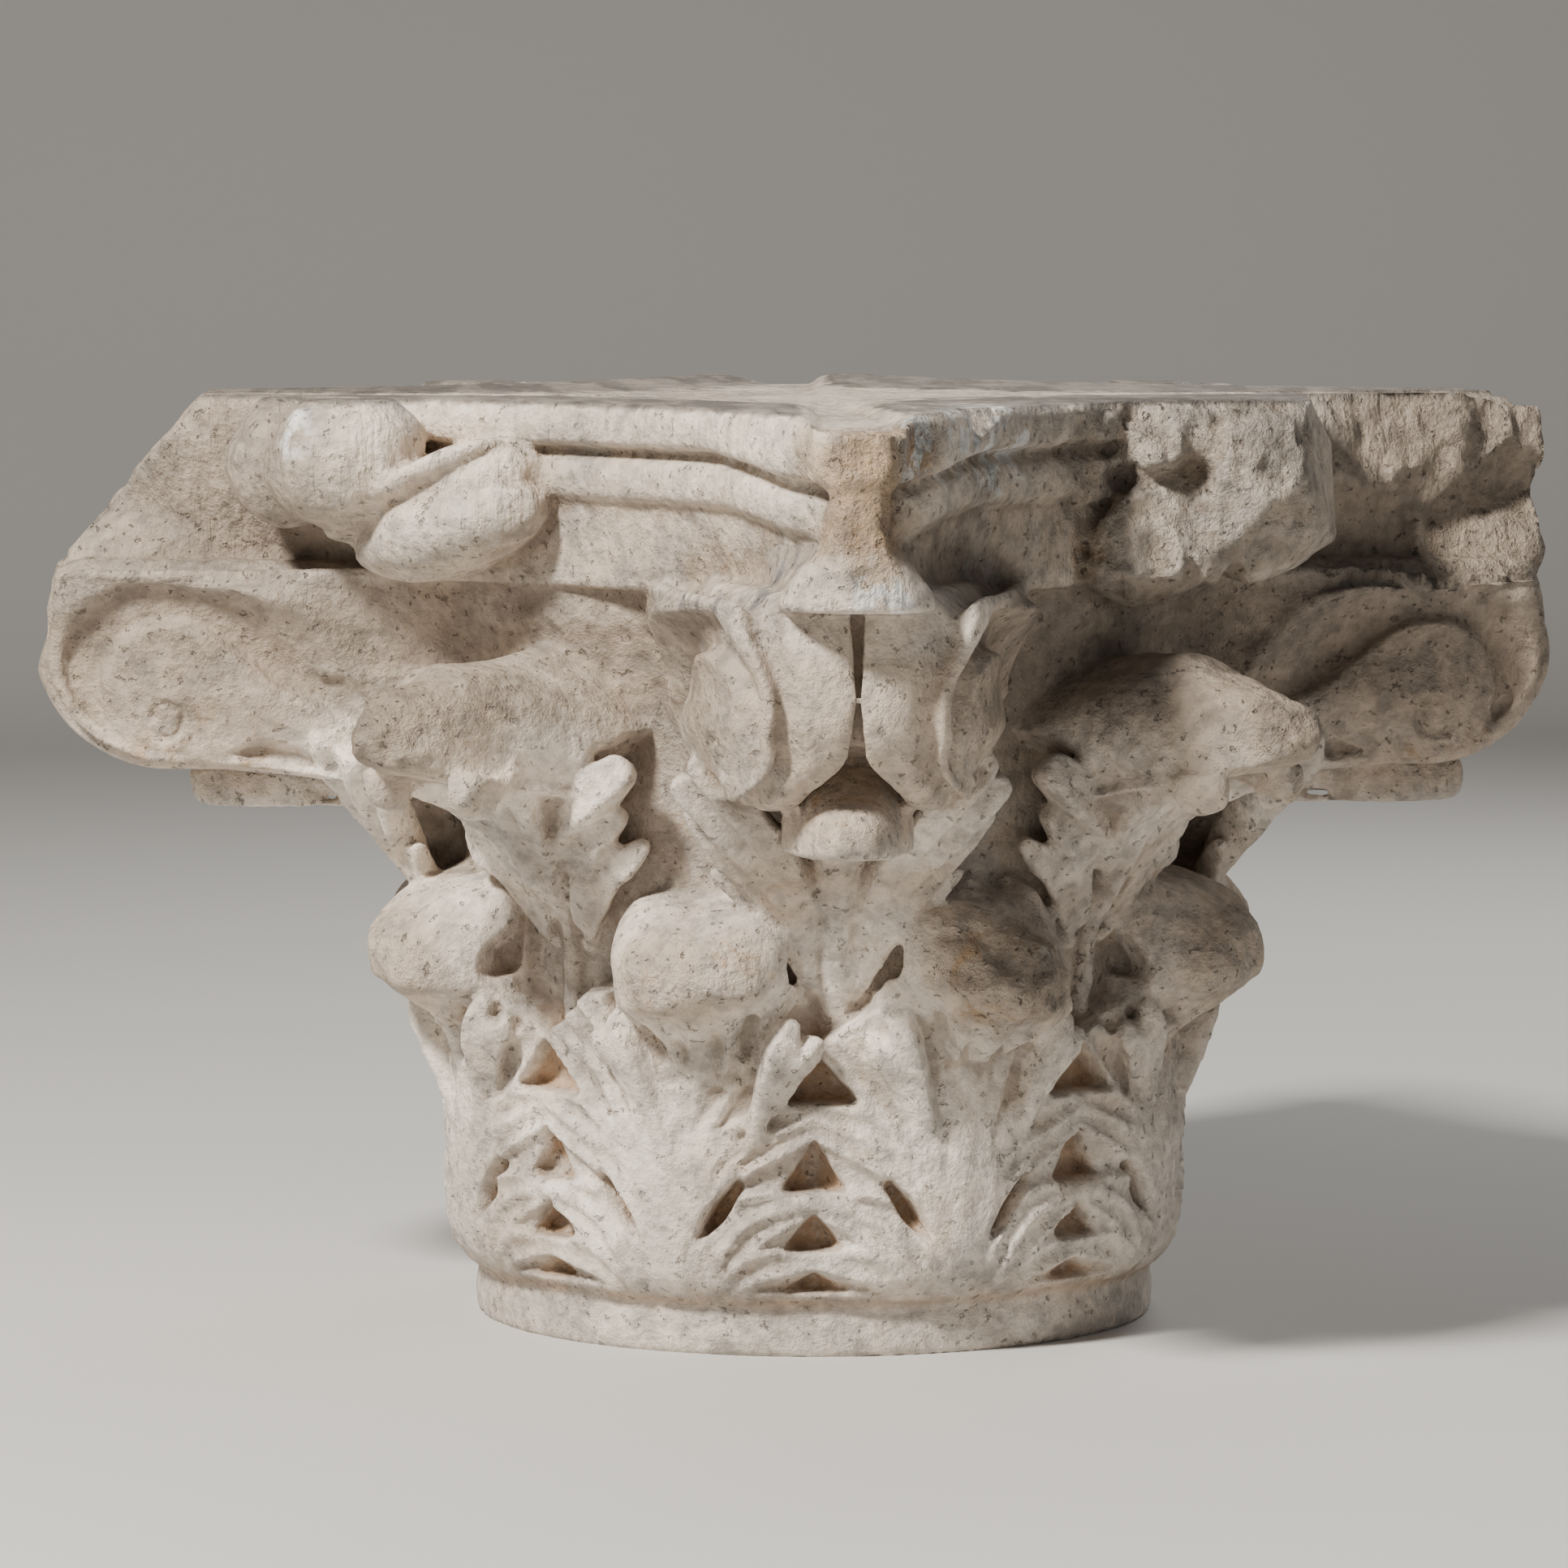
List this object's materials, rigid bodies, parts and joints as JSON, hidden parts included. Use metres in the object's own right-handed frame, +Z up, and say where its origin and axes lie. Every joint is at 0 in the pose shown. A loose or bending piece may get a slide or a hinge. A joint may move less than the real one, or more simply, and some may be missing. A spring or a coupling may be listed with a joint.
{
  "type": "marble capital",
  "caption": "Carved acanthus capital: round leafed bell, corner scrolls and a thick concave-sided abacus, weathered and chipped.",
  "frame": {"origin": "centre of the round lower bed, on its underside", "axes": "+Z up along the bell's axis; -Y towards the whole horn of the abacus, the nearest one in the picture; +X towards the horn whose end has snapped off"},
  "size_m": [1.026, 1.0428, 0.62],
  "materials": {
    "marble": "weathered carved marble, matt"
  },
  "bodies": {
    "root": {"capital": "marble"}
  },
  "joints": []
}
